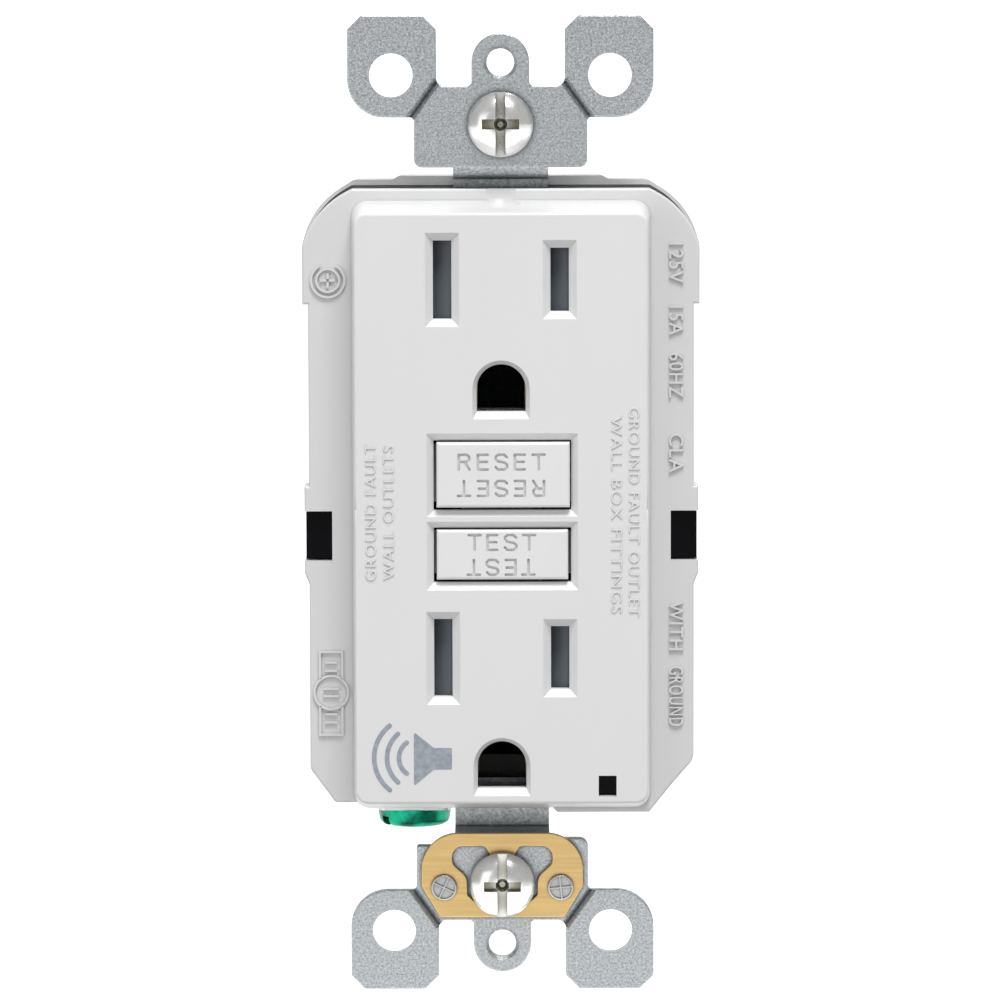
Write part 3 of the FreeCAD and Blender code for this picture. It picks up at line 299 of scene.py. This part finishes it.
def circuit_laminate():
    """Green solder mask, paler and raised along its tracks."""
    shader = Shader("circuit_laminate", (0.008, 0.055, 0.022), 0.5)
    edge = shader.cell_edges(420)
    shader.tint(shader.ramp(edge, [(0.02, (0.02, 0.11, 0.045)), (0.08, (0.006, 0.05, 0.02))]))
    shader.bump(edge, 0.2, 0.00005)
    return shader.material


def wound_copper():
    """Enamelled wire, wound in close turns."""
    shader = Shader("wound_copper", (0.55, 0.20, 0.07), 0.3, 0.9)
    wave = shader.add("ShaderNodeTexWave")
    wave.inputs["Scale"].default_value = 900
    wave.inputs["Distortion"].default_value = 0.4
    shader.join(shader.place, wave.inputs["Vector"])
    shader.tint(shader.ramp(wave.outputs["Fac"], [(0.1, (0.25, 0.08, 0.03)), (0.8, (0.65, 0.26, 0.09))]))
    shader.bump(wave.outputs["Fac"], 0.5, 0.00008)
    return shader.material


def fibreboard():
    """Pressed fibre washer."""
    shader = Shader("fibreboard", (0.42, 0.25, 0.14), 0.85)
    fibres = shader.noise(1100, 6.0, (1.0, 1.0, 0.3))
    shader.tint(shader.ramp(fibres, [(0.3, (0.30, 0.17, 0.09)), (0.7, (0.50, 0.32, 0.18))]))
    shader.bump(fibres, 0.4, 0.0001)
    return shader.material


def smoked_lens():
    """The lamp's window: glossy, nearly black plastic."""
    shader = Shader("smoked_lens", (0.003, 0.003, 0.004), 0.12)
    shader.set("Specular IOR Level", 0.06)
    shader.gloss(shader.spread(shader.noise(900, 2.0), 0.08, 0.18))
    shader.bump(shader.noise(1800, 2.0), 0.05, 0.00003)
    return shader.material


def printed_ink():
    """Grey pad-printing ink, laid on a little unevenly."""
    shader = Shader("printed_ink", (0.30, 0.33, 0.38), 0.55)
    wear = shader.noise(2200, 4.0)
    shader.tint(shader.ramp(wear, [(0.3, (0.26, 0.29, 0.34)), (0.72, (0.38, 0.41, 0.46))]))
    shader.bump(wear, 0.08, 0.00002)
    return shader.material


COVER = cover_plastic()
BUTTON = moulded_plastic("button_plastic", (0.80, 0.80, 0.805), 0.34)
TRAY = moulded_plastic("tray_plastic", (0.70, 0.70, 0.68), 0.45)
SLATE = moulded_plastic("shutter_plastic", (0.10, 0.118, 0.135), 0.45)
BODY = moulded_plastic("body_plastic", (0.62, 0.62, 0.625), 0.5, 0.2)
BLACK = moulded_plastic("black_plastic", (0.003, 0.003, 0.004), 0.3, 0.12, 0.06)
CREAM = moulded_plastic("cream_plastic", (0.60, 0.56, 0.44), 0.45)
ZINC = galvanized_steel()
SCREW = bright_zinc("bright_plating", (0.80, 0.80, 0.79), 0.22)
BRASS_SCREW = bright_zinc("brass_plating", (0.80, 0.58, 0.24), 0.24)
RIVET = bright_zinc("dull_plating", (0.44, 0.45, 0.47), 0.26)
GREEN = green_plating()
CLIP = brushed_brass("clip_brass", (0.25, 1.0, 5.0), 0.34)
CONTACT = brushed_brass("contact_brass", (1.0, 1.0, 0.25), 0.3)
STEEL = drawn_steel("pressed_steel", (0.58, 0.58, 0.59), 0.34)
INK = printed_ink()
SPRING = drawn_steel("spring_wire", (0.50, 0.50, 0.52), 0.28)
BOARD = circuit_laminate()
COPPER = wound_copper()
FIBRE = fibreboard()
LENS = smoked_lens()
CORE = moulded_plastic("core_coating", (0.035, 0.035, 0.04), 0.6)
CAN = drawn_steel("can_sleeve", (0.60, 0.61, 0.63), 0.4)
VARISTOR = moulded_plastic("varistor_coating", (0.03, 0.12, 0.34), 0.25)
RESISTOR = moulded_plastic("resistor_coating", (0.55, 0.42, 0.26), 0.4)
LAMP = moulded_plastic("lamp_lens", (0.10, 0.42, 0.16), 0.15)

FINISHES = {
    "cover_white": COVER, "button_white": BUTTON, "tray_white": TRAY, "shutter_slate": SLATE,
    "body_grey": BODY, "housing_black": BLACK, "lifter_plastic": CREAM, "strap_zinc": ZINC,
    "rivet_steel": RIVET, "screw_zinc": SCREW, "screw_brass": BRASS_SCREW, "screw_green": GREEN,
    "clamp_steel": STEEL, "spring_steel": SPRING, "contact_brass": CONTACT, "clip_brass": CLIP,
    "board_green": BOARD, "core_ferrite": CORE, "coil_copper": COPPER, "can_aluminium": CAN,
    "varistor_blue": VARISTOR, "resistor_tan": RESISTOR, "buzzer_black": BLACK, "lens_smoke": LENS,
    "lamp_lens": LAMP, "washer_fibre": FIBRE,
}


def even_shading():
    """Weights the buttons' normals by area, so the thin slivers between letters shade flat."""
    for name in ("reset_button", "test_button"):
        weighted = frame["nodes"][name].modifiers.new("weighted_normal", "WEIGHTED_NORMAL")
        weighted.keep_sharp = True


def dress_nodes():
    """Gives every CAD node the finish of its material slot."""
    for part in frame["record"]["subparts"]:
        node = frame["nodes"][part["node"]]
        finish = FINISHES[part["material_slot"]]
        for slot in node.material_slots:
            slot.material = finish
        if not node.material_slots:
            node.data.materials.append(finish)


# ---------------------------------------------------------------- lettering and marks

def link_piece(name, mesh, finish):
    """A new piece that rides on the outlet's fixed body."""
    mesh.materials.clear()
    mesh.materials.append(finish)
    piece = bpy.data.objects.new(name, mesh)
    bpy.context.scene.collection.objects.link(piece)
    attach(piece, "outlet")
    return piece


def lettering(name, words, place, height, turn, lift, length, weight):
    """Raised capitals on a surface that faces -Y, turned clockwise by an angle in degrees."""
    text = bpy.data.curves.new(name, "FONT")
    text.body = words
    text.align_x = "CENTER"
    text.align_y = "CENTER"
    text.size = height * FONT_SCALE
    text.extrude = lift
    text.bevel_depth = LETTER_BEVEL
    text.offset = weight
    text.resolution_u = 3
    text.space_character = LETTER_SPACING
    holder = bpy.data.objects.new(name + "_text", text)
    bpy.context.scene.collection.objects.link(holder)
    bpy.context.view_layer.update()
    mesh = bpy.data.meshes.new_from_object(holder)
    bpy.data.objects.remove(holder)
    across = [vertex.co.x for vertex in mesh.vertices]
    squeeze = length / (max(across) - min(across))
    mesh.transform(Matrix.Diagonal((squeeze, 1, 1, 1)))
    mesh.transform(Matrix.Rotation(math.radians(90), 4, "X"))
    mesh.transform(Matrix.Rotation(math.radians(turn), 4, "Y"))
    mesh.transform(Matrix.Translation(place))
    return link_piece(name, mesh, COVER)


def flat_mark(name, outlines, bands, y, depth, finish):
    """Thin raised solids facing -Y: closed (x, z) outlines and bands between two loops, in millimetres."""
    mesh = bpy.data.meshes.new(name)
    builder = bmesh.new()

    def loop(points):
        return [builder.verts.new((x * MM, y, z * MM)) for x, z in points]

    faces = [builder.faces.new(loop(outline)) for outline in outlines]
    for outer, inner in bands:
        a, b = loop(outer), loop(inner)
        for i in range(len(a)):
            faces.append(builder.faces.new((a[i - 1], a[i], b[i], b[i - 1])))
    raised = bmesh.ops.extrude_face_region(builder, geom=faces)
    for vertex in raised["geom"]:
        if isinstance(vertex, bmesh.types.BMVert):
            vertex.co.y -= depth
    bmesh.ops.recalc_face_normals(builder, faces=builder.faces)
    builder.to_mesh(mesh)
    builder.free()
    return link_piece(name, mesh, finish)


def arc_band(centre, radius, width, start, stop, steps=24):
    """The outline of an arc-shaped stroke with round ends, angles in degrees from +X."""
    half = width / 2

    def cap(angle, first):
        middle = Vector((centre[0] + radius * math.cos(angle), centre[1] + radius * math.sin(angle)))
        turns = [math.radians(180 * i / 6) + first for i in range(1, 6)]
        return [tuple(middle + half * Vector((math.cos(t), math.sin(t)))) for t in turns]

    def side(reach, order):
        angles = [math.radians(start + (stop - start) * i / steps) for i in order]
        return [(centre[0] + reach * math.cos(t), centre[1] + reach * math.sin(t)) for t in angles]

    forward = range(steps + 1)
    outer = side(radius + half, forward)
    inner = side(radius - half, reversed(forward))
    return outer + cap(math.radians(stop), math.radians(stop)) + inner + cap(
        math.radians(start), math.radians(start) + math.pi)


def arc_through(first, middle, last, width):
    """An arc-shaped stroke that starts, passes and ends at three (x, z) points."""
    (ax, az), (bx, bz), (cx, cz) = first, middle, last
    d = 2 * (ax * (bz - cz) + bx * (cz - az) + cx * (az - bz))
    a2, b2, c2 = ax * ax + az * az, bx * bx + bz * bz, cx * cx + cz * cz
    ux = (a2 * (bz - cz) + b2 * (cz - az) + c2 * (az - bz)) / d
    uz = (a2 * (cx - bx) + b2 * (ax - cx) + c2 * (bx - ax)) / d
    start = math.degrees(math.atan2(az - uz, ax - ux))
    stop = math.degrees(math.atan2(cz - uz, cx - ux))
    if stop < start:
        stop += 360
    return arc_band((ux, uz), math.hypot(ax - ux, az - uz), width, start, stop)


def bar(start, stop, width):
    """The outline of a straight stroke between two (x, z) points."""
    along = (Vector(stop) - Vector(start)).normalized() * (width / 2)
    across = Vector((-along.y, along.x))
    a, b = Vector(start), Vector(stop)
    return [tuple(a - along + across), tuple(a - along - across), tuple(b + along - across),
            tuple(b + along + across)]


def ring_band(centre, radius, width, steps=48):
    """A closed ring-shaped stroke, as an outer and an inner loop."""
    turns = [math.tau * i / steps for i in range(steps)]
    return [[(centre[0] + reach * math.cos(t), centre[1] + reach * math.sin(t)) for t in turns]
            for reach in (radius + width / 2, radius - width / 2)]


def open_frame(left, right, foot, head, width):
    """The outline of a frame with three sides, open at its foot."""
    edge = width if head > foot else -width
    return [(left, foot), (left, head), (right, head), (right, foot), (right - width, foot),
            (right - width, head - edge), (left + width, head - edge), (left + width, foot)]


def alarm_icon():
    """The printed loudspeaker beside the lamp: three sound arcs and a horn."""
    outlines = []
    arcs = [(-12.2, -13.9, 3.55, 3.5), (-11.3, -12.5, 2.65, 2.65), (-10.35, -11.2, 1.7, 1.7)]
    for end_x, bulge_x, above, below in arcs:
        top, bottom = (end_x, HORN_Z + above), (end_x, HORN_Z - below)
        outlines.append(arc_through(top, (bulge_x, HORN_Z), bottom, 0.5))
    outlines.append([(-9.58, -24.35), (-9.45, -24.2), (-7.4, -25.85), (-5.55, -25.85), (-5.45, -25.95),
                     (-5.45, -28.1), (-5.55, -28.2), (-7.4, -28.2), (-9.45, -29.9), (-9.58, -29.75)])
    flat_mark("alarm_icon", outlines, [], FACE_Y, INK_THICKNESS, INK)


def flange_ring():
    """A raised cross in a ring, inside an arc that is open at its top."""
    x, z = RING_CENTRE
    outlines = [arc_band(RING_CENTRE, 1.83, 0.26, 122, 418)]
    outlines.append(bar((x - 0.7, z), (x + 0.7, z), 0.26))
    outlines += [bar((x, foot), (x, foot + 0.5), 0.26) for foot in (z - 0.65, z + 0.15)]
    bands = [ring_band(RING_CENTRE, 1.25, 0.24)]
    flat_mark("flange_ring", outlines, bands, SHOULDER_Y, RAISED_HEIGHT, COVER)


def flange_seal():
    """A raised circle with bars in it, between two open frames that hold bars too."""
    left, right = SEAL_FRAME_X
    outlines = [open_frame(left, right, -19.0, -15.9, RAISED_LINE),
                open_frame(left, right, -22.0, -25.3, RAISED_LINE)]
    outlines += [bar((-19.3, z), (-18.2, z), RAISED_LINE) for z in (-17.2, -18.1, -22.9, -23.8)]
    outlines += [bar((-19.5, z), (-18.0, z), RAISED_LINE) for z in (-20.1, -20.9)]
    bands = [ring_band(SEAL_CENTRE, 1.85, 0.26)]
    flat_mark("flange_frame", outlines, bands, SHOULDER_Y, RAISED_HEIGHT, COVER)


def flange_words():
    """The ratings, raised on the right flange and read from the top down."""
    words = [("rating_volts", "125V", 29.0, 24.6), ("rating_amps", "15A", 22.1, 18.9),
             ("rating_hertz", "60HZ", 16.8, 11.9), ("rating_class", "CLA", 8.0, 3.7),
             ("rating_wires", "WITH", -10.6, -16.0), ("rating_earth", "GROUND", -17.7, -24.3)]
    for name, text, top, bottom in words:
        place = Vector((RATING_X * MM, SHOULDER_Y, (top + bottom) / 2 * MM))
        lettering(name, text, place, RATING_HEIGHT * MM, 90, 0.28 * MM, (top - bottom) * MM, 0.0)


def face_words():
    """Generic words for what the outlet is, raised finely at both edges of the face."""
    columns = [("note_left_outer", "GROUND FAULT", -14.1, -0.15, 14.9, -90),
               ("note_left_inner", "WALL OUTLETS", -12.15, -0.15, 14.6, -90),
               ("note_right_outer", "GROUND FAULT OUTLET", 14.3, -0.15, 22.7, 90),
               ("note_right_inner", "WALL BOX FITTINGS", 12.4, -0.5, 21.4, 90)]
    for name, text, x, z, length, turn in columns:
        place = Vector((x * MM, FACE_Y, z * MM))
        lettering(name, text, place, NOTE_HEIGHT * MM, turn, 0.1 * MM, length * MM, -0.02 * MM)


# ---------------------------------------------------------------- stage

def make_stage():
    """A pale floor and a white backdrop, far enough away to take no shadow in view."""
    pale = bpy.data.materials.new("pale_floor")
    pale.use_nodes = True
    surface = pale.node_tree.nodes["Principled BSDF"]
    surface.inputs["Base Color"].default_value = (0.9, 0.9, 0.9, 1)
    surface.inputs["Roughness"].default_value = 0.9
    surface.inputs["Emission Color"].default_value = (1, 1, 1, 1)
    surface.inputs["Emission Strength"].default_value = 0.85
    mesh = bpy.data.meshes.new("floor")
    builder = bmesh.new()
    reach, sweep = 4.5, 0.5
    front, back, low, high = -4.0, 2.2, -0.32, 3.0
    rows = [(front, low), (back - sweep, low)]
    for i in range(1, 10):
        angle = math.radians(10 * i)
        rows.append((back - sweep + sweep * math.sin(angle), low + sweep - sweep * math.cos(angle)))
    rows.append((back, high))
    lines = [[builder.verts.new((x, y, z)) for x in (-reach, reach)] for y, z in rows]
    for a, b in zip(lines, lines[1:]):
        builder.faces.new((a[0], a[1], b[1], b[0]))
    builder.to_mesh(mesh)
    builder.free()
    mesh.materials.append(pale)
    for polygon in mesh.polygons:
        polygon.use_smooth = True
    floor = bpy.data.objects.new("floor", mesh)
    bpy.context.scene.collection.objects.link(floor)
    floor.visible_diffuse = False


def area_light(name, place, size, power):
    """A white rectangular light that points at the origin."""
    light = bpy.data.lights.new(name, "AREA")
    light.shape = "RECTANGLE"
    light.size, light.size_y = size
    light.energy = power
    lamp = bpy.data.objects.new(name, light)
    bpy.context.scene.collection.objects.link(lamp)
    lamp.location = place
    lamp.rotation_euler = (-Vector(place)).to_track_quat("-Z", "Y").to_euler()


def make_lights():
    """An even studio world, a key light above, a weaker one below and a fill from the left."""
    world = bpy.data.worlds.new("studio")
    world.use_nodes = True
    world.node_tree.nodes["Background"].inputs["Color"].default_value = (1, 1, 1, 1)
    world.node_tree.nodes["Background"].inputs["Strength"].default_value = 0.52
    bpy.context.scene.world = world
    area_light("key", (0.10, -0.43, 0.85), (0.35, 0.35), 7.0)
    area_light("under", (0.0, -0.40, -0.80), (0.35, 0.35), 4.6)
    area_light("fill", (-0.60, -0.70, 0.10), (0.5, 0.6), 0.9)


def make_camera():
    """Square on, from slightly above, with a long lens."""
    camera = bpy.data.cameras.new("camera")
    camera.sensor_width = 36
    camera.lens = CAMERA_LENS
    camera.clip_start = 0.05
    camera.clip_end = 20
    seat = bpy.data.objects.new("camera", camera)
    bpy.context.scene.collection.objects.link(seat)
    away = Vector((0, -math.cos(CAMERA_ELEVATION), math.sin(CAMERA_ELEVATION)))
    seat.location = CAMERA_TARGET + away * CAMERA_DISTANCE
    look = (-away).to_track_quat("-Z", "Y").to_matrix().to_4x4()
    seat.rotation_euler = (look @ Matrix.Rotation(CAMERA_ROLL, 4, "Z")).to_euler()
    bpy.context.scene.camera = seat


bpy.context.scene.view_settings.view_transform = "Standard"
dress_nodes()
even_shading()
alarm_icon()
flange_ring()
flange_seal()
flange_words()
face_words()
make_stage()
make_lights()
make_camera()
